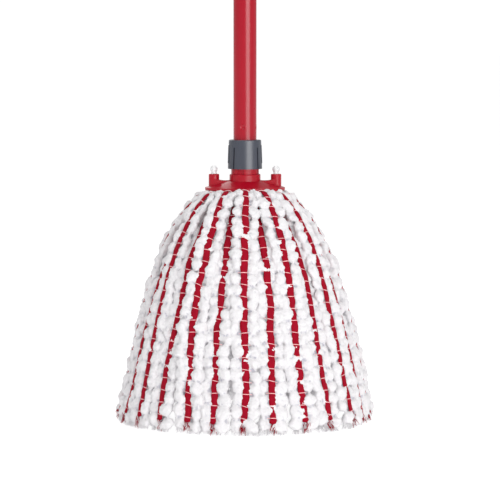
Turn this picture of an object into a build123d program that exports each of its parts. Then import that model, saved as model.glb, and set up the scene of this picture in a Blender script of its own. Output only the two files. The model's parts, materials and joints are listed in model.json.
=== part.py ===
from build123d import *
import os
from math import cos, radians, tan

# A string mop on a tube handle. Millimetres, +Z up, origin on the floor under the handle's axis.
# The mop faces -Y, and its two snap pins stand side by side along X.

# ---- driving dimensions: tube ----
tube_diameter = 24.0
tube_wall = 0.8
tube_top = 1390.0  # height of the tube's upper end over the floor
punch_radius = 5.0  # round nose of the crimping punch
crimp_depth = 1.2
crimp_from_end = 22.8  # from the tube's end to the middle of its crimps
crimp_turn = 13.0  # degrees that the first crimp stands off the front

# ---- driving dimensions: what is in and on the tube ----
insert_length = 36.8  # how far an insert reaches into the tube
insert_clearance = 0.05  # radial gap between the tube and what is pressed in or over it
insert_wall = 2.4
grip_length = 130.0
grip_wall = 1.9
grip_below_top = 8.0
grip_groove_count = 7
grip_groove_radius = 1.0
cap_shoulder_height = 5.0
eye_height = 22.0  # from the tube's end to the middle of the hanging hole
eye_thickness = 9.0
hang_hole_diameter = 11.0
hang_hole_rounding = 1.0

# ---- driving dimensions: plug and locking collar ----
spigot_length = 22.4  # it is as thick as the tube
running_clearance = 0.08  # radial gap where one piece turns or slides on another
plug_flange_inset = 0.6  # how far the plug's flange stands back from the neck's side
plug_flange_thickness = 2.8
flange_gap = 0.4  # between the plug's flange and the end of the neck under it
collar_height = 30.0
collar_overlap = 17.5  # how far its petals reach down over the neck
collar_wall = 3.35  # of the petals, at their lower end
collar_flare = 1.05  # how much wider its lower end is than its top, in radius
collar_chamfer = 0.6
collar_roof_gap = 0.2  # over the plug's flange
collar_skirt_gap = 0.2  # radial, round the neck and the plug's flange
slot_width = 1.4
slot_into_roof = 1.3
petal_turn = 4.0  # degrees that the middle of the front petal stands off the front
grip_rib_count = 5  # on each of the two side petals
grip_rib_step = 8.5  # degrees between ribs
grip_rib_width = 0.9
grip_rib_height = 0.35
grip_rib_length = 18.6

# ---- driving dimensions: head plate ----
rim_height = 240.0  # underside of the flange over the floor
rim_thickness = 3.2
flange_overhang = 0.2  # how far the flange's two ends, along X, stand out over the core
flange_depth = 65.0  # along Y
rim_rounding = 1.0
dome_height = 6.4
dome_shoulder = 3.85  # how far the dome's top reaches past the hub along X
hub_rise = 17.0  # from the flange's underside to the hub's top
hub_height = 4.6
hub_lip = 1.8  # how far the hub stands out round the neck
hub_rounding = 1.2
neck_wall = 2.27
neck_height = 23.0
socket_floor = 1.0  # from the hub's top to the bottom of the neck's bore
recess_width = 6.5
recess_depth = 1.2
recess_height = 14.0
recess_turn = 19.0  # degrees that the first recess stands off the front
post_diameter = 11.0
post_inset = 9.2  # from the core's edge to the middle of a post
post_rounding = 1.0
rib_thickness = 2.2
rib_dip = 2.3  # how far a rib's upper edge sags between hub and post

# ---- driving dimensions: pins, clamp plate and core ----
pin_diameter = 5.5
pin_clearance = 0.05
pin_head_lip = 1.05
pin_head_thickness = 2.2
ball_diameter = 7.8
ball_stand = 4.9  # from the post's top to the middle of the ball
pin_slot_width = 1.2
pin_slot_depth = 12.0  # below the middle of the ball
clamp_inset = 2.5  # how far the clamp plate stands back from the core's side
clamp_thickness = 4.5
clamp_chamfer = 1.5
core_diameter = 83.0
core_margin = 1.6  # how much thicker the core is than two layers of strips

# ---- driving dimensions: strips ----
strip_count = 26
strip_thickness = 9.6
strip_top_gap = 1.43  # from a strip's side to the middle between it and the next one in its layer
strip_bottom_gap = 1.57  # the same on the floor, where all strips stand in one ring
strip_start_gap = 0.8  # between the core or the flange and where the strips start
strip_start_slope = 25.0  # degrees below level
strip_start_run = 6.5
strip_spread = 124.8  # from the axis to the middle of a strip that meets the floor
layer_gap = 1.2  # between the outer and the inner layer

# How a strip falls from the core to the floor: share of the way out, share of the height left,
# and how much of one layer's depth the inner layer still lies behind the outer one.
strip_fall = [
    (0.336, 0.862, 1.0),
    (0.578, 0.700, 1.0),
    (0.784, 0.467, 0.75),
    (0.940, 0.217, 0.35),
    (1.0, 0.058, 0.0),
    (1.0, -0.025, 0.0),
]

# ---- sizes that follow from them ----
tube_radius = tube_diameter / 2
neck_radius = tube_radius + running_clearance + neck_wall
plug_flange_radius = neck_radius - plug_flange_inset
hub_radius = neck_radius + hub_lip
hub_top = rim_height + hub_rise
hub_bottom = hub_top - hub_height
neck_top = hub_top + neck_height
plug_flange_bottom = neck_top + flange_gap
tube_bottom = plug_flange_bottom + plug_flange_thickness
collar_bottom = neck_top - collar_overlap
collar_top = collar_bottom + collar_height
collar_roof = tube_bottom + collar_roof_gap
collar_radius = neck_radius + collar_skirt_gap + collar_wall
core_radius = core_diameter / 2
post_x = core_radius - post_inset
layer_step = strip_thickness + layer_gap
core_bottom = rim_height - 2 * layer_step - core_margin
clamp_bottom = core_bottom - clamp_thickness
strip_start = core_radius + strip_start_gap
strip_pitch = 360 / strip_count
strip_foot = strip_spread - strip_thickness / 2
strip_top_width = 2 * (strip_start * tan(radians(strip_pitch)) - strip_top_gap)
strip_bottom_width = 2 * (strip_foot * tan(radians(strip_pitch / 2)) - strip_bottom_gap)

os.makedirs("parts", exist_ok=True)


def upright(radius, bottom, top, x=0.0):
    """A vertical cylinder between two heights."""
    base = (Align.CENTER, Align.CENTER, Align.MIN)
    return Pos(x, 0, bottom) * Cylinder(radius, top - bottom, align=base)


def around(shape, angles):
    """Copies of a shape turned about the vertical axis."""
    return [Rot(0, 0, angle) * shape for angle in angles]


# ---- tube, plug, cap and grip ----
def crimps(radius, height):
    """Four balls round the tube, as deep in it as the crimping punch goes."""
    out = tube_radius + punch_radius - crimp_depth
    ball = Pos(0, -out, height) * Sphere(radius)
    return around(ball, [90 * i - crimp_turn for i in range(4)])


def handle_tube():
    """A thin tube with four dents at each end, whose metal follows the punch inwards."""
    outside = upright(tube_radius, tube_bottom, tube_top)
    tube = outside - upright(tube_radius - tube_wall, tube_bottom, tube_top)
    for height in (tube_bottom + crimp_from_end, tube_top - crimp_from_end):
        for ball in crimps(punch_radius + tube_wall, height):
            tube += ball & outside
        for ball in crimps(punch_radius, height):
            tube -= ball
    return tube


def tube_insert(bottom, top, crimp_height):
    """The part of a plug or cap that sits in the tube, with a pocket for each dent."""
    insert = upright(tube_radius - tube_wall - insert_clearance, bottom, top)
    for ball in crimps(punch_radius + tube_wall + insert_clearance, crimp_height):
        insert -= ball
    return insert


def tube_plug():
    """The plug in the tube's lower end: insert, flange, and the spigot that enters the neck."""
    top = tube_bottom + insert_length
    plug = tube_insert(tube_bottom, top, tube_bottom + crimp_from_end)
    plug += upright(plug_flange_radius, plug_flange_bottom, tube_bottom)
    spigot_bottom = plug_flange_bottom - spigot_length
    spigot = upright(tube_radius, spigot_bottom, plug_flange_bottom)
    plug += chamfer(spigot.edges().group_by(Axis.Z)[0], insert_wall / 2)
    hollow_radius = tube_radius - tube_wall - crimp_depth - 2 * insert_wall
    return plug - upright(hollow_radius, spigot_bottom + insert_wall, top)


def hang_cap():
    """The cap in the tube's upper end, with a rounded eye to hang the mop by."""
    cap = tube_insert(tube_top - insert_length, tube_top, tube_top - crimp_from_end)
    cap += upright(tube_radius, tube_top, tube_top + cap_shoulder_height)
    middle = tube_top + eye_height
    stem = Pos(0, (tube_top + middle) / 2) * Rectangle(tube_diameter, middle - tube_top)
    outline = stem + Pos(0, middle) * Circle(tube_radius)
    outline -= Pos(0, middle) * Circle(hang_hole_diameter / 2)
    eye = extrude(Plane.XZ * outline, amount=eye_thickness / 2, both=True)
    eye &= upright(tube_radius, tube_top, middle + tube_diameter)
    mouths = eye.edges().filter_by(GeomType.CIRCLE).group_by(SortBy.RADIUS)[0]
    return cap + fillet(mouths, hang_hole_rounding)


def grip_sleeve():
    """A sleeve pressed over the tube, with shallow grooves round it."""
    top = tube_top - grip_below_top
    bottom = top - grip_length
    bore_radius = tube_radius + insert_clearance
    outer_radius = bore_radius + grip_wall
    sleeve = upright(outer_radius, bottom, top)
    sleeve = fillet(sleeve.edges().filter_by(GeomType.CIRCLE), grip_wall / 2)
    sleeve -= upright(bore_radius, bottom, top)
    step = grip_length / (grip_groove_count + 1)
    for i in range(grip_groove_count):
        sleeve -= Pos(0, 0, bottom + step * (i + 1)) * Torus(outer_radius, grip_groove_radius)
    return sleeve


# ---- locking collar ----
def flared(extra):
    """The collar's solid outer shape, with its radius larger by an extra amount."""
    bottom_radius = collar_radius + extra
    top_radius = bottom_radius - collar_flare
    side = Polyline(
        (0, collar_bottom),
        (bottom_radius, collar_bottom),
        (top_radius, collar_top - collar_chamfer),
        (top_radius - collar_chamfer, collar_top),
        (0, collar_top),
        close=True,
    )
    return revolve(Plane.XZ * make_face(side), Axis.Z)


def locking_collar():
    """A flared collar whose slots leave four springy petals that grip the neck."""
    collar = flared(0)
    rib = Box(4 * collar_radius, grip_rib_width, grip_rib_length)
    rib = flared(grip_rib_height) & (Pos(0, 0, (collar_bottom + collar_top) / 2) * rib)
    first = -grip_rib_step * (grip_rib_count - 1) / 2
    for copy in around(rib, [first + grip_rib_step * i for i in range(grip_rib_count)]):
        collar += copy
    collar -= upright(tube_radius + running_clearance, collar_bottom, collar_top)
    collar -= upright(plug_flange_radius + collar_skirt_gap, collar_bottom, collar_roof)
    collar -= upright(neck_radius + collar_skirt_gap, collar_bottom, plug_flange_bottom)
    slot_height = collar_roof + slot_into_roof - collar_bottom
    slot = Box(2 * collar_radius, slot_width, slot_height)
    slot = Pos(collar_radius, 0, collar_bottom + slot_height / 2) * slot
    for copy in around(slot, [45 + 90 * i for i in range(4)]):
        collar -= copy
    return Rot(0, 0, petal_turn) * collar


# ---- head plate ----
def flange():
    """An oval flange: a flat rim under a low dome that rises to the hub."""
    rim = Ellipse(core_radius + flange_overhang, flange_depth / 2)
    rim_top = rim_height + rim_thickness
    dome_top = Pos(0, 0, rim_top + dome_height) * Ellipse(hub_radius + dome_shoulder, hub_radius)
    plate = extrude(Pos(0, 0, rim_height) * rim, amount=rim_thickness)
    plate += loft([Pos(0, 0, rim_top) * rim, dome_top])
    return fillet(plate.edges().group_by(Axis.Z)[:2], rim_rounding)


def boss(radius, rounding, x=0.0):
    """An upright on the flange, as tall as the hub, with its upper edge rounded."""
    shape = upright(radius, rim_height, hub_top, x)
    return fillet(shape.edges().group_by(Axis.Z)[-1], rounding)


def rib_pair(side):
    """Two parallel ribs from the hub to one post, their upper edges sagging between."""
    inner = side * hub_radius / 2
    outer = side * post_x
    foot = rim_height + rim_thickness
    sag = ThreePointArc(
        (inner, hub_bottom), ((inner + outer) / 2, hub_bottom - rib_dip), (outer, hub_bottom)
    )
    rest = Polyline((outer, hub_bottom), (outer, foot), (inner, foot), (inner, hub_bottom))
    web = extrude(Plane.XZ * make_face([sag, rest]), amount=rib_thickness / 2, both=True)
    beside = (post_diameter - rib_thickness) / 2
    return (Pos(0, beside, 0) * web) + (Pos(0, -beside, 0) * web)


def head_plate():
    """The moulded head: neck with its socket, hub, ribs, posts and flange in one piece."""
    head = flange() + boss(hub_radius, hub_rounding)
    head += upright(neck_radius, rim_height, neck_top)
    for side in (-1, 1):
        head += rib_pair(side)
        head += boss(post_diameter / 2, post_rounding, side * post_x)
    head -= upright(tube_radius + running_clearance, hub_top + socket_floor, neck_top)
    recess = Box(recess_width, 2 * recess_depth, recess_height)
    recess = Pos(0, -neck_radius, hub_top + recess_height / 2) * recess
    for copy in around(recess, [90 * i - recess_turn for i in range(4)]):
        head -= copy
    for hole in pin_holes():
        head -= hole
    return head


# ---- pins, clamp plate and core ----
def pin_holes():
    """What the two snap pins need cut out of the head, the core and the clamp plate."""
    radius = pin_diameter / 2 + pin_clearance
    return [upright(radius, clamp_bottom, hub_top, side * post_x) for side in (-1, 1)]


def snap_pin(side):
    """A headed pin that ends in a split ball, which springs through its post."""
    x = side * post_x
    ball_middle = hub_top + ball_stand
    pin = upright(pin_diameter / 2, clamp_bottom, ball_middle, x)
    pin += upright(pin_diameter / 2 + pin_head_lip, clamp_bottom - pin_head_thickness, clamp_bottom, x)
    pin += Pos(x, 0, ball_middle) * Sphere(ball_diameter / 2)
    slot_height = pin_slot_depth + ball_diameter
    slot = Box(pin_slot_width, ball_diameter, slot_height)
    return pin - Pos(x, 0, ball_middle + ball_diameter - slot_height / 2) * slot


def clamp_plate():
    """The disc under the cloth that the two pins hold up against the flange."""
    plate = upright(core_radius - clamp_inset, clamp_bottom, core_bottom)
    plate = chamfer(plate.edges().group_by(Axis.Z)[0], clamp_chamfer)
    for hole in pin_holes():
        plate -= hole
    return plate


def strip_core():
    """The sewn and clamped middle of the cloth, where every strip begins."""
    core = upright(core_radius, core_bottom, rim_height)
    for hole in pin_holes():
        core -= hole
    return core


# ---- strips ----
def fall_line(inner):
    """The corners of a strip's middle line in the XZ plane, from inside the core to the floor."""
    slope = radians(strip_start_slope)
    start = Vector(strip_start, 0, rim_height - strip_start_gap - strip_thickness / 2 / cos(slope))
    run = Vector(strip_start_run, 0, -strip_start_run * tan(slope))
    corners = [start - run, start + run]
    lag = [1.0, 1.0]
    for out, left, behind in strip_fall:
        radius = strip_start + out * (strip_spread - strip_start)
        corners.append(Vector(radius, 0, left * rim_height))
        lag.append(behind)
    if not inner:
        return corners
    runs = [(b - a).normalized() for a, b in zip(corners, corners[1:])]
    moved = []
    for corner, before, after, behind in zip(corners, runs[:1] + runs, runs + runs[-1:], lag):
        miter = (before + after) / (1 + before.dot(after))
        moved.append(corner + Vector(miter.Z, 0, -miter.X) * layer_step * behind)
    return moved


def smooth_path(corners):
    """Straight runs joined by tangent arcs, each as large as its two runs allow."""
    radii = []
    for before, here, after in zip(corners, corners[1:], corners[2:]):
        shorter = min((here - before).length, (after - here).length)
        turn = (here - before).get_angle(after - here)
        radii.append(0.45 * shorter / tan(radians(turn) / 2))
    return FilletPolyline(*corners, radius=radii)


def strip_room():
    """The room that a strip may fill: from the core outwards, and wider towards the floor."""
    top = strip_top_width / 2
    bottom = strip_bottom_width / 2
    front = Polyline((-bottom, 0), (bottom, 0), (top, rim_height), (-top, rim_height), close=True)
    face = Plane.YZ.offset(strip_start) * make_face(front)
    return extrude(face, amount=strip_spread)


def strip(inner):
    """One strip along +X: a flat band that follows the fall line and is cut off at the floor."""
    path = smooth_path(fall_line(inner))
    across = Plane(origin=path @ 0, x_dir=(0, 1, 0), z_dir=path % 0)
    band = sweep(across * Rectangle(2 * strip_bottom_width, strip_thickness), path=path)
    return band & strip_room()


def strips():
    """Every strip by name, the layers taking turns round the core from the front on."""
    layers = [strip(inner=False), strip(inner=True)]
    return {
        f"strip_{i + 1:02d}": Rot(0, 0, i * strip_pitch - 90) * layers[i % 2]
        for i in range(strip_count)
    }


nodes = {
    "handle_tube": handle_tube(),
    "tube_plug": tube_plug(),
    "grip_sleeve": grip_sleeve(),
    "hang_cap": hang_cap(),
    "locking_collar": locking_collar(),
    "head_plate": head_plate(),
    "snap_pin_left": snap_pin(-1),
    "snap_pin_right": snap_pin(1),
    "clamp_plate": clamp_plate(),
    "strip_core": strip_core(),
}
nodes.update(strips())

for name, shape in nodes.items():
    export_step(shape, f"parts/{name}.step")
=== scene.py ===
"""A string mop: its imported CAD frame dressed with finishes, and its cloth strips made as fleece."""

import json
import logging
import math
import random
from dataclasses import dataclass, field
from enum import Enum
from math import cos, pi, radians, sin

import bmesh
import bpy
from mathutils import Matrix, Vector

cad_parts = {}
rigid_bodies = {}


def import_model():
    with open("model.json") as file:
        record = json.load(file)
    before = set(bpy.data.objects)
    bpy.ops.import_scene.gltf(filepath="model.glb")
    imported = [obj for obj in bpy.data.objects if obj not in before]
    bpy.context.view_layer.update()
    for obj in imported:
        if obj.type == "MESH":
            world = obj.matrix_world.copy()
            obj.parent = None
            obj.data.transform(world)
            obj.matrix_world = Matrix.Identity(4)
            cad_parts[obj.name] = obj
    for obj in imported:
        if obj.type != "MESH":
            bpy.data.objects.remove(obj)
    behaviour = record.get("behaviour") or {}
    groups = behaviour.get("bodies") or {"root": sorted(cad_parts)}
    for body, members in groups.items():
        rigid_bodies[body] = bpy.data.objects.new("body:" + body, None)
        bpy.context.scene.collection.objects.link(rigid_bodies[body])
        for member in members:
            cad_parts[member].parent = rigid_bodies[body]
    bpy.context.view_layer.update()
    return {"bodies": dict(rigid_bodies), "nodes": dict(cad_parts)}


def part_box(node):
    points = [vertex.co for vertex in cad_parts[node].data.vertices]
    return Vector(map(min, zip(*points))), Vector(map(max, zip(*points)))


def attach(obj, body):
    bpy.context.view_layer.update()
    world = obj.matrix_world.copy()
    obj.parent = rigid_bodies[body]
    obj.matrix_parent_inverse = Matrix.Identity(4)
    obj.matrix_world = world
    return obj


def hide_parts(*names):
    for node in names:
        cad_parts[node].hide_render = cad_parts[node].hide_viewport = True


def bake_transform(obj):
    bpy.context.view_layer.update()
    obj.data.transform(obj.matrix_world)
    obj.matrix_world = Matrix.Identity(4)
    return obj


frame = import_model()
MM = 0.001
log = logging.getLogger("mop")


# ---------------------------------------------------------------- node graphs


class Wire:
    """An output socket that turns Python arithmetic into Math nodes."""

    def __init__(self, graph: "Graph", socket: bpy.types.NodeSocket) -> None:
        """Keep the socket and the graph that it belongs to.

        Args:
            graph: The graph that new Math nodes go into.
            socket: The output socket that this wire stands for.
        """
        self.graph = graph
        self.socket = socket

    def output(self, name: str) -> "Wire":
        """Another output of the same node.

        Args:
            name: The output's name.

        Returns:
            A wire for that output.
        """
        return Wire(self.graph, self.socket.node.outputs[name])

    def math(self, operation: str, *others: "Wire | float") -> "Wire":
        """One Math node whose first value is this wire.

        Args:
            operation: The Math node's operation.
            others: Its other values.

        Returns:
            The node's result.
        """
        return self.graph.math(operation, self, *others)

    def __add__(self, other: "Wire | float") -> "Wire":
        """self + other."""
        return self.graph.math("ADD", self, other)

    __radd__ = __add__

    def __mul__(self, other: "Wire | float") -> "Wire":
        """self * other."""
        return self.graph.math("MULTIPLY", self, other)

    __rmul__ = __mul__

    def __sub__(self, other: "Wire | float") -> "Wire":
        """self - other."""
        return self.graph.math("SUBTRACT", self, other)

    def __rsub__(self, other: "Wire | float") -> "Wire":
        """other - self."""
        return self.graph.math("SUBTRACT", other, self)

    def __truediv__(self, other: "Wire | float") -> "Wire":
        """self / other."""
        return self.graph.math("DIVIDE", self, other)

    def __pow__(self, other: "Wire | float") -> "Wire":
        """self ** other."""
        return self.graph.math("POWER", self, other)


class Graph:
    """Adds nodes to one node tree, shader or geometry."""

    def __init__(self, tree: bpy.types.NodeTree) -> None:
        """Keep the tree.

        Args:
            tree: The node tree to add to.
        """
        self.tree = tree

    def node(
        self,
        kind: str,
        inputs: dict[str | int, object] | None = None,
        output: str | int = 0,
        **settings: object,
    ) -> Wire:
        """Add a node, set it up and connect it.

        Args:
            kind: The node's type.
            inputs: What each input socket gets: a wire, or a plain value.
            output: The name or number of the output that the result stands for.
            settings: The node's own properties, which are set first.

        Returns:
            A wire for the chosen output.
        """
        node = self.tree.nodes.new(kind)
        for name, value in settings.items():
            setattr(node, name, value)
        for key, value in (inputs or {}).items():
            socket = self.find(node, key)
            if isinstance(value, Wire):
                self.tree.links.new(value.socket, socket)
            else:
                socket.default_value = value
        if isinstance(output, int):
            shown = [socket for socket in node.outputs if socket.enabled]
            return Wire(self, (shown or node.outputs)[output])
        return Wire(self, next(s for s in node.outputs if s.name == output and s.enabled))

    @staticmethod
    def find(node: bpy.types.Node, key: str | int) -> bpy.types.NodeSocket:
        """An input socket by its place or name, leaving out those that a setting has switched off.

        Args:
            node: The node that has the socket.
            key: The socket's number or name.

        Returns:
            The input socket.
        """
        if isinstance(key, int):
            return [socket for socket in node.inputs if socket.enabled][key]
        return next(socket for socket in node.inputs if socket.name == key and socket.enabled)

    def math(self, operation: str, *values: "Wire | float") -> Wire:
        """One Math node.

        Args:
            operation: Its operation.
            values: Its values, in order.

        Returns:
            Its result.
        """
        return self.node("ShaderNodeMath", dict(enumerate(values)), operation=operation)

    def vector(self, operation: str, *values: object) -> Wire:
        """One Vector Math node.

        Args:
            operation: Its operation.
            values: Its vectors, and a scale last where it takes one.

        Returns:
            Its result.
        """
        return self.node("ShaderNodeVectorMath", dict(enumerate(values)), operation=operation)


class GeometryGraph(Graph):
    """A Geometry Nodes tree with named inputs, which ends in one material."""

    def __init__(self, name: str, material: bpy.types.Material) -> None:
        """Start a tree that takes a geometry and gives one back.

        Args:
            name: The tree's name.
            material: What its Set Material node assigns.
        """
        super().__init__(bpy.data.node_groups.new(name, "GeometryNodeTree"))
        self.material = material
        self.tree.interface.new_socket("Geometry", in_out="INPUT", socket_type="NodeSocketGeometry")
        self.tree.interface.new_socket("Geometry", in_out="OUTPUT", socket_type="NodeSocketGeometry")
        self.start = self.tree.nodes.new("NodeGroupInput")
        self.identifiers: dict[str, str] = {}

    @property
    def geometry(self) -> Wire:
        """The geometry that the modifier's object brings in."""
        return Wire(self, self.start.outputs["Geometry"])

    def size(self, name: str, kind: str = "NodeSocketFloat") -> Wire:
        """Declare one of the tree's named inputs.

        Args:
            name: The input's name.
            kind: Its socket type.

        Returns:
            A wire for the input.
        """
        socket = self.tree.interface.new_socket(name, in_out="INPUT", socket_type=kind)
        self.identifiers[name] = socket.identifier
        return Wire(self, self.start.outputs[name])

    def attribute(self, name: str) -> Wire:
        """A named vector attribute of the geometry.

        Args:
            name: The attribute's name.

        Returns:
            A wire for its value.
        """
        return self.node("GeometryNodeInputNamedAttribute", {"Name": name}, data_type="FLOAT_VECTOR")

    def scatter(self, seed: Wire | int, low: object, high: object, data_type: str = "FLOAT") -> Wire:
        """A random value for each point.

        Args:
            seed: The random draw's seed.
            low: The lowest value.
            high: The highest value.
            data_type: FLOAT or FLOAT_VECTOR.

        Returns:
            A wire for the value.
        """
        inputs = {"Min": low, "Max": high, "Seed": seed}
        return self.node("FunctionNodeRandomValue", inputs, data_type=data_type)

    def blur(self, value: Wire, passes: int) -> Wire:
        """A vector averaged with its neighbours'.

        Args:
            value: The vector at each point.
            passes: How many times it is averaged.

        Returns:
            A wire for the average.
        """
        inputs = {"Value": value, "Iterations": passes, "Weight": 1.0}
        return self.node("GeometryNodeBlurAttribute", inputs, data_type="FLOAT_VECTOR")

    def aim(self, axes: str, first: Wire, second: Wire, tilt: Wire) -> Wire:
        """A rotation that turns two axes to two directions, and then tilts about its own axes.

        Args:
            axes: The letters of the two axes.
            first: Where the first axis points.
            second: About where the second axis points.
            tilt: The tilt about each axis, in radians.

        Returns:
            A wire for the rotation.
        """
        turn = self.node("FunctionNodeAxesToRotation", {
            "Primary Axis": first, "Secondary Axis": second,
        }, primary_axis=axes[0], secondary_axis=axes[1])
        return self.node("FunctionNodeRotateRotation", {
            "Rotation": turn, "Rotate By": self.node("FunctionNodeEulerToRotation", {0: tilt}),
        }, rotation_space="LOCAL")

    def finish(self, geometry: Wire) -> None:
        """End the tree in Realize Instances and Set Material, shaded smooth.

        Args:
            geometry: What the tree has made.
        """
        whole = self.node("GeometryNodeRealizeInstances", {"Geometry": geometry})
        shaded = self.node("GeometryNodeSetShadeSmooth", {"Geometry": whole, "Shade Smooth": True})
        dressed = self.node(
            "GeometryNodeSetMaterial", {"Geometry": shaded, "Material": self.material}
        )
        end = self.tree.nodes.new("NodeGroupOutput")
        self.tree.links.new(dressed.socket, end.inputs["Geometry"])

    def bake(self, name: str, source: bpy.types.Mesh, sizes: dict[str, float | int]) -> bpy.types.Object:
        """Run the tree on a mesh and keep the result as a plain mesh object.

        Args:
            name: The new object's name.
            source: The mesh that the tree starts from.
            sizes: A value for each of the tree's named inputs.

        Returns:
            A mesh object at the origin, with no modifiers.
        """
        worker = bpy.data.objects.new(name, source)
        bpy.context.scene.collection.objects.link(worker)
        modifier = worker.modifiers.new(self.tree.name, "NODES")
        modifier.node_group = self.tree
        for key, value in sizes.items():
            modifier[self.identifiers[key]] = value
        bpy.context.view_layer.update()
        evaluated = worker.evaluated_get(bpy.context.evaluated_depsgraph_get())
        mesh = bpy.data.meshes.new_from_object(evaluated)
        worker.modifiers.remove(modifier)
        worker.data = mesh
        return worker


# ---------------------------------------------------------------- finishes


@dataclass(frozen=True)
class Finish:
    """A surface finish: its colour and how it shines."""

    name: str
    slot: str
    colour: tuple[float, float, float]
    roughness: float
    coat: float = 0.0
    sheen: float = 0.0
    specular: float = 0.5
    glow: float = 0.0

    def material(self) -> bpy.types.Material:
        """Build the finish's material.

        Returns:
            A material whose shader ends in one Principled BSDF.
        """
        material = bpy.data.materials.new(self.name)
        material.use_nodes = True
        tree = material.node_tree
        shader = tree.nodes["Principled BSDF"]
        constants = {
            "Coat Weight": self.coat, "Coat Roughness": 0.12, "Specular IOR Level": self.specular,
            "Sheen Weight": self.sheen, "Sheen Roughness": 0.5,
            "Emission Color": (1.0, 1.0, 1.0, 1.0), "Emission Strength": self.glow,
        }
        for name, value in constants.items():
            shader.inputs[name].default_value = value
        graph = Graph(tree)
        colour, roughness, normal = self.pattern(graph)
        for name, wire in (("Base Color", colour), ("Roughness", roughness), ("Normal", normal)):
            tree.links.new(wire.socket, shader.inputs[name])
        return material

    def pattern(self, graph: Graph) -> tuple[Wire, Wire, Wire]:
        """What varies over the surface.

        Args:
            graph: The material's node graph.

        Returns:
            Wires for the colour, the roughness and the normal.
        """
        raise NotImplementedError

    def shade(self, graph: Graph, amount: Wire, darkest: float, lightest: float) -> Wire:
        """The finish's colour, made darker or lighter by a value.

        Args:
            graph: The material's node graph.
            amount: A value from 0 to 1.
            darkest: What the colour is multiplied by at 0.
            lightest: What it is multiplied by at 1.

        Returns:
            A wire for the colour.
        """
        low = (*(min(c * darkest, 1.0) for c in self.colour), 1.0)
        high = (*(min(c * lightest, 1.0) for c in self.colour), 1.0)
        return blend_colours(graph, amount, low, high)


def blend_colours(graph: Graph, amount: Wire, low: object, high: object) -> Wire:
    """Mix two colours.

    Args:
        graph: The node graph to add to.
        amount: The share of the second colour.
        low: The first colour, a tuple or a wire.
        high: The second colour, a tuple or a wire.

    Returns:
        A wire for the mixed colour.
    """
    inputs = {"Factor": amount, "A": low, "B": high}
    return graph.node("ShaderNodeMix", inputs, output="Result", data_type="RGBA")


def object_place(graph: Graph, stretch: tuple[float, float, float] = (1.0, 1.0, 1.0)) -> Wire:
    """Object coordinates, stretched along the axes.

    Args:
        graph: The node graph to add to.
        stretch: What each coordinate is multiplied by.

    Returns:
        A wire for the coordinates.
    """
    place = graph.node("ShaderNodeTexCoord", output="Object")
    return graph.node("ShaderNodeMapping", {"Vector": place, "Scale": stretch})


def speckle(graph: Graph, size: float, place: Wire, detail: float = 3.0) -> Wire:
    """Soft noise from 0 to 1.

    Args:
        graph: The node graph to add to.
        size: The width of one blotch, in metres.
        place: The coordinates that it follows.
        detail: How many finer layers it has.

    Returns:
        A wire for the noise.
    """
    inputs = {"Vector": place, "Scale": 1.0 / size, "Detail": detail, "Roughness": 0.55}
    return graph.node("ShaderNodeTexNoise", inputs)


def bump(graph: Graph, height: Wire, depth: float, strength: float = 1.0) -> Wire:
    """A normal from a height.

    Args:
        graph: The node graph to add to.
        height: A value from 0 to 1.
        depth: How deep the relief is, in metres.
        strength: How much of it shows.

    Returns:
        A wire for the normal.
    """
    inputs = {"Height": height, "Distance": depth, "Strength": strength}
    return graph.node("ShaderNodeBump", inputs)


class GlossPaint(Finish):
    """Sprayed paint on steel tube: a faint orange peel, dull patches and fine scuffs along it."""

    def pattern(self, graph: Graph) -> tuple[Wire, Wire, Wire]:
        """See Finish.pattern."""
        place = object_place(graph)
        peel = speckle(graph, 1.6 * MM, place)
        patches = speckle(graph, 45 * MM, place)
        streaks = speckle(graph, 1.2 * MM, object_place(graph, (1.0, 1.0, 0.03)), detail=6.0)
        scuffs = graph.node("ShaderNodeMapRange", {
            "Value": streaks * 0.7 + patches * 0.3, "From Min": 0.56, "From Max": 0.68,
        })
        colour = self.shade(graph, patches * 0.6 + scuffs * 0.3, 0.9, 1.12)
        roughness = patches * 0.08 + scuffs * 0.1 + self.roughness
        return colour, roughness, bump(graph, peel, 0.02 * MM, 0.5)


class MouldedPlastic(Finish):
    """Injection-moulded plastic: a fine grain, flow marks and slight dulling on the outside."""

    grain = 0.5 * MM

    def pattern(self, graph: Graph) -> tuple[Wire, Wire, Wire]:
        """See Finish.pattern."""
        place = object_place(graph)
        grain = speckle(graph, self.grain, place, detail=4.0)
        flow = speckle(graph, 14 * MM, object_place(graph, (1.0, 1.0, 0.35)))
        colour = self.shade(graph, flow * 0.7 + grain * 0.3, 0.86, 1.14)
        roughness = flow * 0.12 + grain * 0.06 + self.roughness
        return colour, roughness, bump(graph, grain, 0.03 * MM, 0.5)


class SoftGrip(Finish):
    """Soft-touch grip rubber: a pebbled skin, worn paler where hands hold it."""

    def pattern(self, graph: Graph) -> tuple[Wire, Wire, Wire]:
        """See Finish.pattern."""
        place = object_place(graph)
        pebbles = graph.node(
            "ShaderNodeTexVoronoi", {"Vector": place, "Scale": 1 / (1.1 * MM)}, output="Distance"
        )
        wear = speckle(graph, 30 * MM, place)
        colour = self.shade(graph, wear, 0.75, 1.4)
        roughness = wear * 0.2 + pebbles * 0.1 + self.roughness
        return colour, roughness, bump(graph, pebbles, 0.12 * MM, 0.6)


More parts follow.
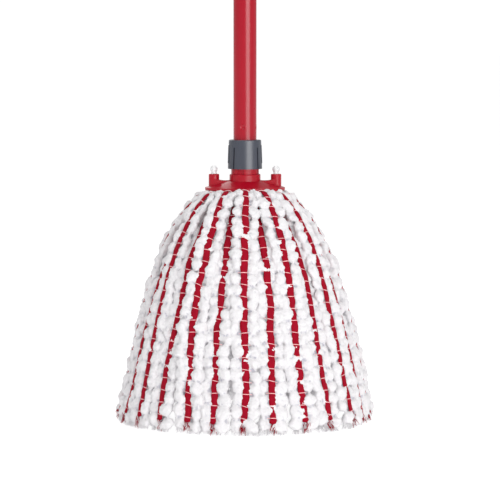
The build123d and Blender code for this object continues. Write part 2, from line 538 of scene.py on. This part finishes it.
class Fleece(Finish):
    """White microfibre pile: curly tufts, and painted shade, a cool grey, in the creases between them."""

    # Colour of the painted shade in the creases between the tufts.
    painted_crease_shade = (0.5, 0.49, 0.55, 1.0)

    def pattern(self, graph: Graph) -> tuple[Wire, Wire, Wire]:
        """See Finish.pattern."""
        place = object_place(graph)
        curls = speckle(graph, 1.5 * MM, place, detail=5.0)
        tufts = speckle(graph, 5 * MM, place)
        # How deep each point lies in a crease, stored by the pile's tree; below, it paints shade into the
        # creases.
        painted_shade_hollow = graph.node("ShaderNodeAttribute", output="Fac", attribute_name="painted_shade_hollow")
        painted_crease_shade = graph.node("ShaderNodeMapRange", {
            "Value": painted_shade_hollow + (tufts - 0.5) * 0.3, "From Min": 0.75, "From Max": 0.0,
        })
        pile = self.shade(graph, curls * 0.6 + tufts * 0.4, 0.82, 1.14)
        # Painted shade: the cool grey in deep creases, the pile's own colour elsewhere.
        colour = blend_colours(graph, painted_crease_shade, self.painted_crease_shade, pile)
        roughness = curls * 0.1 + self.roughness
        return colour, roughness, bump(graph, curls * 0.6 + tufts * 0.4, 1.4 * MM, 0.9)


class Tape(Finish):
    """Woven polyester tape: fine ribs across it, a twill along it, paler on its worn crowns."""

    def pattern(self, graph: Graph) -> tuple[Wire, Wire, Wire]:
        """See Finish.pattern."""
        place = graph.node("ShaderNodeAttribute", output="Vector", attribute_name="weave")
        along = graph.node("ShaderNodeSeparateXYZ", {0: place}, output="X")
        across = graph.node("ShaderNodeSeparateXYZ", {0: place}, output="Y")
        ribs = (along * (2 * pi / (0.7 * MM))).math("SINE")
        threads = (across * (2 * pi / (0.6 * MM))).math("SINE")
        weave = ribs * threads * 0.5 + 0.5
        fading = speckle(graph, 6 * MM, object_place(graph))
        colour = self.shade(graph, fading * 0.7 + weave * 0.3, 0.72, 1.3)
        roughness = weave * 0.1 + self.roughness
        return colour, roughness, bump(graph, weave, 0.12 * MM, 0.7)


class Thread(Finish):
    """Sewing thread: a twisted lay with a faint change of shade along it."""

    def pattern(self, graph: Graph) -> tuple[Wire, Wire, Wire]:
        """See Finish.pattern."""
        place = object_place(graph)
        lay = speckle(graph, 0.3 * MM, place)
        dye = speckle(graph, 9 * MM, place)
        return self.shade(graph, dye, 0.85, 1.15), lay * 0.1 + self.roughness, bump(graph, lay, 0.05 * MM)


class Floor(Finish):
    """A plain pale floor, with only a trace of unevenness."""

    def pattern(self, graph: Graph) -> tuple[Wire, Wire, Wire]:
        """See Finish.pattern."""
        cloud = speckle(graph, 0.4, object_place(graph))
        roughness = cloud * 0.05 + self.roughness
        return self.shade(graph, cloud, 0.99, 1.0), roughness, bump(graph, cloud, 0.1 * MM)


PAINT = GlossPaint("red_gloss_paint", "red_paint", (0.37, 0.001, 0.014), 0.25, coat=0.2, specular=0.25)
RED_MOULDING = MouldedPlastic("red_moulding", "red_plastic", (0.4, 0.001, 0.014), 0.22, specular=0.3)
GREY_MOULDING = MouldedPlastic("slate_moulding", "grey_plastic", (0.036, 0.042, 0.062), 0.27, specular=0.75)
WHITE_MOULDING = MouldedPlastic("white_moulding", "white_plastic", (0.72, 0.72, 0.73), 0.32)
GRIP = SoftGrip("soft_grip", "black_grip", (0.035, 0.038, 0.045), 0.62)
PILE = Fleece("white_fleece", "fleece", (0.8, 0.785, 0.8), 0.85, sheen=0.1)
TAPE = Tape("red_tape", "fleece", (0.31, 0.001, 0.014), 0.8, specular=0.15)
STITCH = Thread("stitching", "fleece", (0.95, 0.55, 0.56), 0.7)
STUDIO_FLOOR = Floor("studio_floor", "fleece", (0.4, 0.4, 0.4), 0.9, glow=0.84)


# ---------------------------------------------------------------- cloth strips


class Layer(Enum):
    """The two layers in which the strips leave the core."""

    OUTER = 0
    INNER = 1


@dataclass
class Spine:
    """The middle line of one strip: its points, and which way is out and across at each."""

    points: list[Vector]
    outward: list[Vector]
    across: list[Vector]

    @property
    def length(self) -> float:
        """The line's length in metres."""
        return sum((b - a).length for a, b in zip(self.points, self.points[1:]))

    def mesh(self, name: str) -> bpy.types.Mesh:
        """The line as a mesh of edges that carries both directions as attributes.

        Args:
            name: The mesh's name.

        Returns:
            The mesh.
        """
        mesh = bpy.data.meshes.new(name)
        edges = [(i, i + 1) for i in range(len(self.points) - 1)]
        mesh.from_pydata(self.points, edges, [])
        for label, directions in (("outward", self.outward), ("across", self.across)):
            attribute = mesh.attributes.new(label, "FLOAT_VECTOR", "POINT")
            for item, direction in zip(attribute.data, directions):
                item.vector = direction
        return mesh


@dataclass
class StripShape:
    """The sizes of a strip and of what is sewn on it, in metres unless named otherwise."""

    top_width: float = 20.0 * MM
    foot_width: float = 33.0 * MM
    thickness: float = 11.0 * MM
    stitch_pitch: float = 12.4 * MM
    voxel: float = 1.15 * MM
    lump_width: float = 5.5 * MM
    lump_height: float = 5.0 * MM
    curl_width: float = 1.9 * MM
    curl_height: float = 1.6 * MM
    tape_width: float = 7.6 * MM
    tape_start: float = 0.055  # share of the strip's length
    tape_end: float = 0.975
    tape_lift: float = 3.3 * MM
    tape_bulge: float = 0.9 * MM
    tape_thickness: float = 0.9 * MM
    tape_drift: float = 5.0 * MM  # how far it wanders from side to side
    stitch_depth: float = 1.6 * MM  # how far a stitch's ends sink beside the tape
    thread_radius: float = 0.42 * MM
    fringe_length: float = 9.0 * MM
    fringe_count: int = 150
    sway: float = 3.0 * MM
    twist: float = 14.0  # degrees


class Sewing:
    """The four Geometry Nodes trees that make a strip from its spine."""

    def __init__(self, shape: StripShape) -> None:
        """Build the trees.

        Args:
            shape: The strip's sizes.
        """
        self.shape = shape
        self.fleece = self.build_fleece()
        self.tape = self.build_tape()
        self.thread = self.build_thread()
        self.fringe = self.build_fringe()

    def along_spine(self, graph: GeometryGraph, share: Wire) -> tuple[Wire, Wire, Wire, Wire]:
        """The spine at a share of its length.

        Args:
            graph: The tree to add to.
            share: The share, from 0 at the core to 1 at the floor.

        Returns:
            Wires for the position, the tangent, and the outward and the across direction.
        """
        curve = graph.node("GeometryNodeMeshToCurve", {"Mesh": graph.geometry})
        found = []
        for name in ("outward", "across"):
            inputs = {"Curves": curve, "Value": graph.attribute(name), "Factor": share}
            sample = graph.node(
                "GeometryNodeSampleCurve", inputs, output="Value", mode="FACTOR",
                data_type="FLOAT_VECTOR", use_all_curves=True,
            )
            found.append(sample)
        return found[0].output("Position"), found[0].output("Tangent"), found[0], found[1]

    def width_at(self, share: Wire) -> Wire:
        """The strip's width at a share of its length.

        Args:
            share: The share, from 0 at the core to 1 at the floor.

        Returns:
            A wire for the width.
        """
        grown = share ** 0.32
        return grown * (self.shape.foot_width - self.shape.top_width) + self.shape.top_width

    def build_fleece(self) -> GeometryGraph:
        """Rows of soft tufts along the spine, fused into one pile.

        Returns:
            The tree.
        """
        shape = self.shape
        graph = GeometryGraph("fleece_pile", PILE.material())
        seed = graph.size("Seed", "NodeSocketInt")
        count = graph.size("Tufts in a row", "NodeSocketInt")
        tuft = graph.node("GeometryNodeMeshIcoSphere", {"Radius": 1.0, "Subdivisions": 3})
        rows = []
        for number, (row, drop, swell) in enumerate(((-1, 0.4, 1.0), (1, 0.6, 1.0), (0, 0.5, 0.62))):
            dots = graph.node("GeometryNodePoints", {"Count": count})
            index = graph.node("GeometryNodeInputIndex")
            own = seed + 10 * number
            jitter = graph.scatter(own + 1, -0.1, 0.1)
            share = (index + jitter + drop) / count
            place, tangent, outward, across = self.along_spine(graph, share)
            width = self.width_at(share)
            half = width * 0.5
            lean = graph.scatter(own + 2, -0.1, 0.12)
            rise = graph.scatter(own + 3, -0.14, 0.12) * (1.0 if row else 0.25)
            side_shift = graph.vector("SCALE", across, half * (row * 0.58) + half * lean)
            out_shift = graph.vector("SCALE", outward, (rise + 0.1 * abs(row)) * shape.thickness)
            middle = graph.vector("ADD", graph.vector("ADD", place, side_shift), out_shift)
            tilt = graph.scatter(own + 4, (-0.45, -0.45, -0.7), (0.45, 0.45, 0.7), "FLOAT_VECTOR")
            turn = graph.aim("XY", tangent, across, tilt)
            vary = graph.scatter(own + 5, (0.8, 0.84, 0.84), (1.25, 1.2, 1.16), "FLOAT_VECTOR")
            size = graph.node("ShaderNodeCombineXYZ", {
                "X": shape.stitch_pitch * 0.62,
                "Y": half * (0.43 if row else 0.5),
                "Z": (share * 0.22 + 0.78) * (shape.thickness * 0.5 * swell),
            })
            placed = graph.node("GeometryNodeSetPosition", {"Geometry": dots, "Position": middle})
            rows.append(graph.node("GeometryNodeInstanceOnPoints", {
                "Points": placed, "Instance": tuft, "Rotation": turn,
                "Scale": graph.vector("MULTIPLY", size, vary),
            }))
        join = graph.node("GeometryNodeJoinGeometry", {"Geometry": rows[0]})
        for row in rows[1:]:
            graph.tree.links.new(row.socket, join.socket.node.inputs[0])
        tufts = graph.node("GeometryNodeRealizeInstances", {"Geometry": join})
        fog = graph.node("GeometryNodeMeshToVolume", {
            "Mesh": tufts, "Density": 1.0, "Voxel Size": shape.voxel, "Interior Band Width": 2 * shape.voxel,
        }, resolution_mode="VOXEL_SIZE")
        skin = graph.node("GeometryNodeVolumeToMesh", {
            "Volume": fog, "Voxel Size": shape.voxel, "Threshold": 0.1, "Adaptivity": 0.0,
        }, resolution_mode="VOXEL_SIZE")
        here = graph.node("GeometryNodeInputPosition")
        soft = graph.blur(here, 3)
        skin = graph.node("GeometryNodeSetPosition", {"Geometry": skin, "Position": soft})
        lumps = speckle(graph, shape.lump_width, here, detail=3.0)
        curls = speckle(graph, shape.curl_width, here, detail=1.0)
        height = (lumps - 0.5) * shape.lump_height + (curls - 0.5) * shape.curl_height
        normal = graph.node("GeometryNodeInputNormal")
        offset = graph.vector("SCALE", normal, height)
        skin = graph.node("GeometryNodeSetPosition", {"Geometry": skin, "Offset": offset})
        # How far each point sits in a hollow between tufts, kept so the pile's material can paint shade into
        # the creases.
        painted_shade_hollow = graph.vector("DOT_PRODUCT", graph.vector("SUBTRACT", graph.blur(here, 14), here), normal)
        skin = graph.node("GeometryNodeStoreNamedAttribute", {
            "Geometry": skin, "Name": "painted_shade_hollow", "Value": painted_shade_hollow / (1.0 * MM),
        }, data_type="FLOAT", domain="POINT")
        graph.finish(skin)
        return graph

    @staticmethod
    def wander(graph: GeometryGraph, along: Wire, line: Wire) -> Wire:
        """Soft noise from 0 to 1 along a line.

        Args:
            graph: The tree to add to.
            along: The place on the line.
            line: A number that sets this line apart from others.

        Returns:
            A wire for the noise.
        """
        spot = graph.node("ShaderNodeCombineXYZ", {"X": along, "Y": line})
        return graph.node("ShaderNodeTexNoise", {"Vector": spot, "Scale": 1.0, "Detail": 1.0})

    def tape_shift(self, graph: GeometryGraph, share: Wire, pillows: Wire, seed: Wire) -> Wire:
        """How far the tape and its stitches lie to one side of the spine.

        Args:
            graph: The tree to add to.
            share: The share of the strip's length.
            pillows: How many pillows the tape has.
            seed: The strip's seed.

        Returns:
            A wire for the distance.
        """
        return (self.wander(graph, share * pillows * 0.55, seed * 3.7) - 0.5) * self.shape.tape_drift

    def build_tape(self) -> GeometryGraph:
        """The tape down the strip's outer face: a low pillow between each two stitches.

        Returns:
            The tree.
        """
        shape = self.shape
        graph = GeometryGraph("sewn_tape", TAPE.material())
        seed = graph.size("Seed", "NodeSocketInt")
        pillows = graph.size("Pillows", "NodeSocketInt")
        length = graph.size("Length")
        sides = 12
        grid = graph.node("GeometryNodeMeshGrid", {
            "Size X": 1.0, "Size Y": 1.0, "Vertices X": pillows * 8 + 1, "Vertices Y": sides + 1,
        })
        spot = graph.node("ShaderNodeSeparateXYZ", {0: graph.node("GeometryNodeInputPosition")})
        share = (spot + 0.5) * (shape.tape_end - shape.tape_start) + shape.tape_start
        angle = spot.output("Y") * (2 * pi)
        place, _, outward, across = self.along_spine(graph, share)
        pillow = (share * pillows * pi).math("SINE").math("ABSOLUTE") ** 0.6
        ragged = self.wander(graph, share * pillows * 1.7, seed * 1.3 + 50)
        closed = ((0.5 - spot.math("ABSOLUTE")) * 400).math("MINIMUM", 1.0)
        half = (pillow * 0.2 + ragged * 0.4 + 0.64) * (shape.tape_width / 2) * closed
        side = angle.math("COSINE") * half + self.tape_shift(graph, share, pillows, seed)
        crown = 1 - angle.math("COSINE") ** 2.0
        up = angle.math("SINE") * (0.5 * shape.tape_thickness) * closed
        up = up + pillow * crown * shape.tape_bulge + shape.tape_lift
        up = up * ((share * 40).math("MINIMUM", 1.0) * 0.3 + 0.7)
        side = side * ((share * 4).math("MINIMUM", 1.0) * 0.25 + 0.75)
        spread = graph.vector("ADD", graph.vector("SCALE", across, side), graph.vector("SCALE", outward, up))
        weave = graph.node("ShaderNodeCombineXYZ", {"X": share * length, "Y": side})
        named = graph.node("GeometryNodeStoreNamedAttribute", {
            "Geometry": grid, "Name": "weave", "Value": weave,
        }, data_type="FLOAT_VECTOR", domain="POINT")
        ribbon = graph.node("GeometryNodeSetPosition", {
            "Geometry": named, "Position": graph.vector("ADD", place, spread),
        })
        ribbon = graph.node("GeometryNodeMergeByDistance", {"Geometry": ribbon, "Distance": 0.01 * MM})
        frays = self.fibres(graph, seed + 70, 26, shape.tape_width * 0.42, 7 * MM, 0.4 * MM, shape.tape_lift)
        join = graph.node("GeometryNodeJoinGeometry", {"Geometry": ribbon})
        graph.tree.links.new(frays.socket, join.socket.node.inputs[0])
        graph.finish(join)
        return graph

    def build_thread(self) -> GeometryGraph:
        """One stitch across the tape between each two pillows.

        Returns:
            The tree.
        """
        shape = self.shape
        graph = GeometryGraph("stitches", STITCH.material())
        seed = graph.size("Seed", "NodeSocketInt")
        pillows = graph.size("Pillows", "NodeSocketInt")
        reach = shape.tape_width * 0.78
        top = shape.tape_thickness * 0.5 + shape.thread_radius * 0.5
        deep = shape.stitch_depth
        arc = graph.node("GeometryNodeCurveQuadraticBezier", {
            "Resolution": 6, "Start": (-reach, 0, -deep), "End": (reach, 0, -deep),
            "Middle": (0, 0, 2 * top + deep),
        })
        ring = graph.node("GeometryNodeCurvePrimitiveCircle", {
            "Resolution": 6, "Radius": shape.thread_radius,
        })
        stitch = graph.node("GeometryNodeCurveToMesh", {
            "Curve": arc, "Profile Curve": ring, "Fill Caps": True,
        })
        dots = graph.node("GeometryNodePoints", {"Count": pillows - 1})
        share = (graph.node("GeometryNodeInputIndex") + 1) / pillows
        place, _, outward, across = self.along_spine(graph, share)
        shift = self.tape_shift(graph, share, pillows, seed)
        lifted = graph.vector("ADD", place, graph.vector("SCALE", outward, shape.tape_lift))
        lifted = graph.vector("ADD", lifted, graph.vector("SCALE", across, shift))
        slant = graph.scatter(seed + 5, (0.0, 0.0, -0.28), (0.0, 0.0, 0.12), "FLOAT_VECTOR")
        turn = graph.aim("ZX", outward, across, slant)
        placed = graph.node("GeometryNodeSetPosition", {"Geometry": dots, "Position": lifted})
        graph.finish(graph.node("GeometryNodeInstanceOnPoints", {
            "Points": placed, "Instance": stitch, "Rotation": turn,
        }))
        return graph

    def fibres(
        self, graph: GeometryGraph, seed: Wire, count: int,
        reach: float, length: float, radius: float, lift: float,
    ) -> Wire:
        """Loose fibres at the strip's cut end.

        Args:
            graph: The tree to add to.
            seed: The seed of their random places and directions.
            count: How many there are.
            reach: How far from the middle of the strip they stand, across it.
            length: The longest fibre's length.
            radius: A fibre's radius at its root.
            lift: How far out from the spine their roots are.

        Returns:
            The fibres as instances.
        """
        cone = graph.node("GeometryNodeMeshCone", {
            "Vertices": 4, "Side Segments": 3, "Radius Top": radius * 0.35, "Radius Bottom": radius,
            "Depth": 1.0,
        })
        dots = graph.node("GeometryNodePoints", {"Count": count})
        place, tangent, outward, across = self.along_spine(graph, graph.scatter(seed, 0.965, 1.0))
        side = graph.vector("SCALE", across, graph.scatter(seed + 1, -reach, reach))
        depth = 0.22 * self.shape.thickness
        out = graph.vector("SCALE", outward, graph.scatter(seed + 2, lift - depth, lift + depth))
        middle = graph.vector("ADD", graph.vector("ADD", place, side), out)
        tilt = graph.scatter(seed + 3, (-0.5, -0.5, 0.0), (0.5, 0.5, 3.0), "FLOAT_VECTOR")
        turn = graph.aim("ZX", tangent, across, tilt)
        scale = graph.node("ShaderNodeCombineXYZ", {
            "X": 1.0, "Y": 1.0, "Z": graph.scatter(seed + 4, length * 0.45, length),
        })
        placed = graph.node("GeometryNodeSetPosition", {"Geometry": dots, "Position": middle})
        return graph.node("GeometryNodeInstanceOnPoints", {
            "Points": placed, "Instance": cone, "Rotation": turn, "Scale": scale,
        })

    def build_fringe(self) -> GeometryGraph:
        """The fluffy cut end of the strip.

        Returns:
            The tree.
        """
        shape = self.shape
        graph = GeometryGraph("cut_fringe", PILE.material())
        seed = graph.size("Seed", "NodeSocketInt")
        fibres = self.fibres(
            graph, seed, shape.fringe_count, shape.foot_width * 0.42, shape.fringe_length, 0.55 * MM, 0.0
        )
        loose = graph.node("GeometryNodeRealizeInstances", {"Geometry": fibres})
        here = graph.node("GeometryNodeInputPosition")
        curl = graph.node("ShaderNodeTexNoise", {
            "Vector": here, "Scale": 160.0, "Detail": 1.0,
        }, output="Color")
        curl = graph.vector("SCALE", graph.vector("SUBTRACT", curl, (0.5, 0.5, 0.5)), 4.5 * MM)
        graph.finish(graph.node("GeometryNodeSetPosition", {"Geometry": loose, "Offset": curl}))
        return graph


@dataclass
class Cloth:
    """The mop's cloth: twenty-six strips in two layers, and the clamped core they start from.

    Each row of fall is a share of the way out, a share of the core's height, and how much of
    the layers' depth an inner strip still lies behind an outer one.
    """

    shape: StripShape = field(default_factory=StripShape)
    start_inside: float = 9 * MM
    rim_gap: float = 3.0 * MM
    puff: float = 6.0 * MM
    shoulder: tuple[float, float] = (8.5 * MM, 4.6 * MM)
    foot_height: float = 5.0 * MM
    foot_radius: float = 124.0 * MM
    layer_depth: float = 8.5 * MM
    fall: tuple[tuple[float, float, float], ...] = (
        (0.336, 0.862, 0.9),
        (0.578, 0.700, 0.55),
        (0.784, 0.467, 0.3),
        (0.940, 0.217, 0.15),
        (1.0, 0.07, 0.0),
    )
    spacing: float = 2.5 * MM
    pleat_depth: float = 0.9 * MM
    bend_inside: float = 36 * MM
    bend_outside: float = 66 * MM

    def __post_init__(self) -> None:
        """Read the sizes of the core and the head plate, and the strips' names, from the frame."""
        self.core_low, self.core_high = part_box("strip_core")
        self.core_radius = self.core_high.x
        self.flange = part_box("head_plate")[1]
        self.names = sorted(body for body in frame["bodies"] if body.startswith("strip_"))

    def direction(self, number: int) -> float:
        """The direction that a strip hangs in.

        Args:
            number: The strip's number, from 0 at the front.

        Returns:
            Its angle from +X towards +Y.
        """
        return 2 * pi * number / len(self.names) - pi / 2

    def profile(self, layer: Layer, angle: float) -> list[Vector]:
        """The corners of a strip's fall as distance from the axis and height.

        Args:
            layer: Which layer the strip is in.
            angle: The strip's direction, from +X towards +Y.

        Returns:
            The corners, from inside the core to the floor.
        """
        wide, deep = self.flange.x, self.flange.y
        rim = 1 / math.hypot(cos(angle) / wide, sin(angle) / deep)
        top = self.core_high.z - 0.56 * self.shape.thickness
        puff = self.puff * (wide - rim) / (wide - deep) + 0.5 * MM
        run, drop = self.shoulder
        corners = [
            Vector((rim - self.start_inside, top)),
            Vector((rim + self.rim_gap, top + puff)),
            Vector((self.core_radius + run, top - drop + 0.4 * puff)),
        ]
        lag = [1.0, 1.0, 1.0]
        for out, left, behind in self.fall:
            corners.append(Vector((
                self.core_radius + out * (self.foot_radius - self.core_radius), left * self.core_high.z
            )))
            lag.append(behind)
        corners.append(Vector((self.foot_radius + 0.6 * MM, self.foot_height)))
        lag.append(0.0)
        if layer is Layer.OUTER:
            return corners
        corners[0] = Vector((self.core_radius - self.start_inside, top))
        corners[1] = Vector((self.core_radius + self.rim_gap, top))
        moved = []
        for i, corner in enumerate(corners):
            along = (corners[min(i + 1, len(corners) - 1)] - corners[max(i - 1, 0)]).normalized()
            moved.append(corner + Vector((along.y, -along.x)) * self.layer_depth * lag[i])
        return moved

    def spine(self, number: int, draw: random.Random) -> Spine:
        """The middle line of one strip, with its own sway and twist.

        Args:
            number: The strip's number, from 0 at the front.
            draw: Where its random numbers come from.

        Returns:
            The spine.
        """
        layer = Layer(number % 2)
        angle = self.direction(number)
        line = evenly(rounded(self.profile(layer, angle), 3), self.spacing)
        radial, tangential = Vector((cos(angle), sin(angle), 0)), Vector((-sin(angle), cos(angle), 0))
        sway, phase = draw.uniform(-1, 1) * self.shape.sway, draw.uniform(0, 2 * pi)
        kick = Vector((draw.uniform(-3, 3) * MM, draw.uniform(-2, 5) * MM))
        points = []
        for i, (radius, height) in enumerate(line):
            share = i / (len(line) - 1)
            wave = sway * sin(2 * pi * 1.2 * share + phase) * min(1.0, 2 * share)
            foot = max(0.0, (share - 0.8) / 0.2) ** 2
            aside = tangential * (wave + kick.x * foot)
            points.append(radial * (radius + kick.y * foot) + aside + Vector((0, 0, height)))
        twist = radians(self.shape.twist) * draw.uniform(-1, 1)
        outward, across = [], []
        for i in range(len(points)):
            share = i / (len(points) - 1)
            along = (points[min(i + 1, len(points) - 1)] - points[max(i - 1, 0)]).normalized()
            side = (tangential - along * along.dot(tangential)).normalized()
            out = along.cross(side)
            turn = twist * sin(pi * share + phase) * min(1.0, 3 * share)
            across.append(side * cos(turn) + out * sin(turn))
            outward.append(out * cos(turn) - side * sin(turn))
        return Spine(points, outward, across)

    def build(self) -> None:
        """Make every strip and the core, and tie the core to the head's body."""
        sewing = Sewing(self.shape)
        draw = random.Random(26)
        for number, body in enumerate(self.names):
            self.build_strip(number, body, sewing, draw)
        self.build_core()

    def build_strip(self, number: int, body: str, sewing: Sewing, draw: random.Random) -> None:
        """Make one strip: its pile, tape, stitches and fringe.

        Args:
            number: The strip's number, from 0 at the front.
            body: The strip's body in the frame, whose name its pieces take and whose part is hidden.
            sewing: The trees that make its pieces.
            draw: Where its random numbers come from.
        """
        spine = self.spine(number, draw)
        source = spine.mesh(f"{body}_spine")
        pillows = round(spine.length / self.shape.stitch_pitch)
        seed = 100 * (number + 1)
        sizes = {"Seed": seed}
        pile = sewing.fleece.bake(f"{body}_fleece", source, sizes | {"Tufts in a row": pillows})
        tape = sewing.tape.bake(f"{body}_tape", source, sizes | {"Pillows": pillows, "Length": spine.length})
        thread = sewing.thread.bake(f"{body}_stitches", source, sizes | {"Pillows": pillows})
        fringe = sewing.fringe.bake(f"{body}_fringe", source, sizes)
        angle = self.direction(number)
        for piece in (pile, tape, thread, fringe):
            stand_on_floor(piece.data)
            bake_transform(piece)
        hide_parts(body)
        spine.length + self.foot_height
        log.info("%s: %d faces, %.0f mm long", body, len(pile.data.polygons), spine.length / MM)

    def build_core(self) -> None:
        """Make the pleated, clamped middle of the cloth."""
        low, high, radius = self.core_low.z, self.core_high.z, self.core_radius
        edge = [(0.0, high), (0.7, high), (0.88, high - 2 * MM), (0.98, high - 8 * MM), (0.98, low + 6 * MM),
                (0.94, low + 1.5 * MM), (0.85, low), (0.0, low)]
        profile = evenly([Vector((share * radius, height)) for share, height in edge], 1.6 * MM)
        pleats = len(self.names)
        turns = 10 * pleats
        vertices, faces = [], []
        for distance, height in profile:
            for step in range(turns):
                angle = 2 * pi * step / turns
                fold = self.pleat_depth * cos(pleats * angle) * (distance / radius) ** 4
                reach = max(distance + fold - self.pleat_depth, 0.0)
                vertices.append((reach * cos(angle), reach * sin(angle), height))
        for ring in range(len(profile) - 1):
            for step in range(turns):
                here, after = ring * turns + step, ring * turns + (step + 1) % turns
                faces.append((here + turns, after + turns, after, here))
        mesh = bpy.data.meshes.new("core_cloth")
        mesh.from_pydata(vertices, [], faces)
        tidy_mesh(mesh)
        mesh.materials.append(PILE.material())
        core = bpy.data.objects.new("core_cloth", mesh)
        bpy.context.scene.collection.objects.link(core)
        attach(core, "head")
        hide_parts("strip_core")
        log.info("core_cloth: %d faces", len(mesh.polygons))


def rounded(points: list[Vector], passes: int) -> list[Vector]:
    """Cut a line's corners until it is smooth, keeping its ends.

    Args:
        points: The line's points.
        passes: How many times its corners are cut.

    Returns:
        The smoother line.
    """
    for _ in range(passes):
        cut = [points[0]]
        for a, b in zip(points, points[1:]):
            cut += [a.lerp(b, 0.25), a.lerp(b, 0.75)]
        points = [*cut, points[-1]]
    return points


def evenly(points: list[Vector], spacing: float) -> list[Vector]:
    """Points at even steps along a line.

    Args:
        points: The line's points.
        spacing: The step between the new points, about.

    Returns:
        The new points, from the line's first to its last.
    """
    lengths = [0.0]
    for a, b in zip(points, points[1:]):
        lengths.append(lengths[-1] + (b - a).length)
    steps = max(2, round(lengths[-1] / spacing))
    found, span = [], 0
    for step in range(steps + 1):
        goal = lengths[-1] * step / steps
        while span < len(points) - 2 and lengths[span + 1] < goal:
            span += 1
        share = (goal - lengths[span]) / max(lengths[span + 1] - lengths[span], 1e-9)
        found.append(points[span].lerp(points[span + 1], share))
    return found


def stand_on_floor(mesh: bpy.types.Mesh) -> None:
    """Press whatever would reach under the floor flat against it.

    Args:
        mesh: The mesh to change.
    """
    for vertex in mesh.vertices:
        vertex.co.z = max(vertex.co.z, 0.2 * MM)


def tidy_mesh(mesh: bpy.types.Mesh) -> None:
    """Merge doubled points, point the faces outwards and shade them smooth.

    Args:
        mesh: The mesh to change.
    """
    work = bmesh.new()
    work.from_mesh(mesh)
    bmesh.ops.remove_doubles(work, verts=work.verts, dist=0.001 * MM)
    bmesh.ops.recalc_face_normals(work, faces=work.faces)
    work.to_mesh(mesh)
    work.free()
    mesh.shade_smooth()


# ---------------------------------------------------------------- hard parts and studio


@dataclass
class HardParts:
    """The moulded and metal parts, whose shapes come ready from the frame."""

    finishes: dict[str, Finish] = field(default_factory=lambda: {
        "handle_tube": PAINT,
        "tube_plug": GREY_MOULDING,
        "hang_cap": GREY_MOULDING,
        "grip_sleeve": GRIP,
        "locking_collar": GREY_MOULDING,
        "head_plate": RED_MOULDING,
        "snap_pin_left": WHITE_MOULDING,
        "snap_pin_right": WHITE_MOULDING,
        "clamp_plate": WHITE_MOULDING,
    })

    def build(self) -> None:
        """Give every hard part its finish."""
        made: dict[str, bpy.types.Material] = {}
        for node, finish in self.finishes.items():
            if finish.name not in made:
                made[finish.name] = finish.material()
            part = frame["nodes"][node]
            for slot in part.material_slots:
                slot.material = made[finish.name]
            log.info("%s: %s", node, finish.name)


@dataclass
class SoftBox:
    """One soft light: where it hangs, what it faces, how large and how strong it is."""

    name: str
    place: tuple[float, float, float]
    target: tuple[float, float, float]
    size: tuple[float, float]
    power: float

    def build(self) -> None:
        """Hang the light."""
        light = bpy.data.lights.new(self.name, "AREA")
        light.shape = "RECTANGLE"
        light.size, light.size_y = self.size
        light.energy = self.power
        lamp = bpy.data.objects.new(self.name, light)
        lamp.location = self.place
        lamp.rotation_euler = (Vector(self.target) - lamp.location).to_track_quat("-Z", "Y").to_euler()
        bpy.context.scene.collection.objects.link(lamp)


@dataclass
class Studio:
    """The floor, the sky, the lights and the camera."""

    floor_radius: float = 30.0
    dim_sky: float = 0.4
    bright_sky: float = 1.06
    distance: float = 3.0
    eye_height: float = 0.42
    aim: tuple[float, float, float] = (0.0052, 0.0, 0.1775)
    view_width: float = 0.5215
    sensor: float = 36.0
    lights: tuple[SoftBox, ...] = (
        SoftBox("key", (1.3, -2.25, 0.52), (0.0, 0.0, 0.4), (1.7, 0.9), 35.0),
        SoftBox("fill", (-1.9, -1.9, 2.1), (0.0, 0.0, 0.2), (1.6, 1.4), 20.0),
        SoftBox("top", (0.0, 0.3, 2.8), (0.0, 0.3, 0.0), (2.4, 2.4), 24.0),
        SoftBox("back", (-0.9, 2.4, 1.7), (0.0, 0.0, 0.4), (1.4, 1.6), 12.0),
    )

    def build(self) -> None:
        """Set up the studio."""
        self.build_floor()
        self.build_sky()
        for light in self.lights:
            light.build()
        self.build_camera()

    def build_floor(self) -> None:
        """Lay the floor, a wide disc."""
        mesh = bpy.data.meshes.new("floor")
        sides = 128
        angles = [2 * pi * side / sides for side in range(sides)]
        rim = [(self.floor_radius * cos(angle), self.floor_radius * sin(angle), 0) for angle in angles]
        mesh.from_pydata(rim, [], [tuple(range(sides))])
        mesh.materials.append(STUDIO_FLOOR.material())
        floor = bpy.data.objects.new("floor", mesh)
        bpy.context.scene.collection.objects.link(floor)

    def build_sky(self) -> None:
        """Light the studio from all round, brightest behind the mop."""
        world = bpy.data.worlds.new("studio")
        world.use_nodes = True
        graph = Graph(world.node_tree)
        direction = graph.node("ShaderNodeTexCoord", output="Generated")
        behind = graph.node("ShaderNodeSeparateXYZ", {0: direction}, output="Y")
        strength = graph.node("ShaderNodeMapRange", {
            "Value": behind, "From Min": 0.92, "From Max": 0.978,
            "To Min": self.dim_sky, "To Max": self.bright_sky,
        }, interpolation_type="SMOOTHSTEP")
        background = world.node_tree.nodes["Background"]
        background.inputs["Color"].default_value = (1.0, 1.0, 1.0, 1.0)
        world.node_tree.links.new(strength.socket, background.inputs["Strength"])
        bpy.context.scene.world = world
        bpy.context.scene.view_settings.view_transform = "Standard"

    def build_camera(self) -> None:
        """Set the camera in front of the mop, a little above its head."""
        data = bpy.data.cameras.new("camera")
        camera = bpy.data.objects.new("camera", data)
        aim = Vector(self.aim)
        camera.location = (aim.x, -self.distance, self.eye_height)
        camera.rotation_euler = (aim - camera.location).to_track_quat("-Z", "Y").to_euler()
        data.sensor_width = self.sensor
        data.lens = self.sensor * (aim - camera.location).length / self.view_width
        data.clip_end = 100.0
        bpy.context.scene.collection.objects.link(camera)
        bpy.context.scene.camera = camera


def main() -> None:
    """Dress the hard parts, make the cloth, and set up the studio."""
    logging.basicConfig(level=logging.INFO, format="%(name)s: %(message)s")
    for part in (Studio(), HardParts(), Cloth()):
        part.build()


if __name__ == "__main__":
    main()
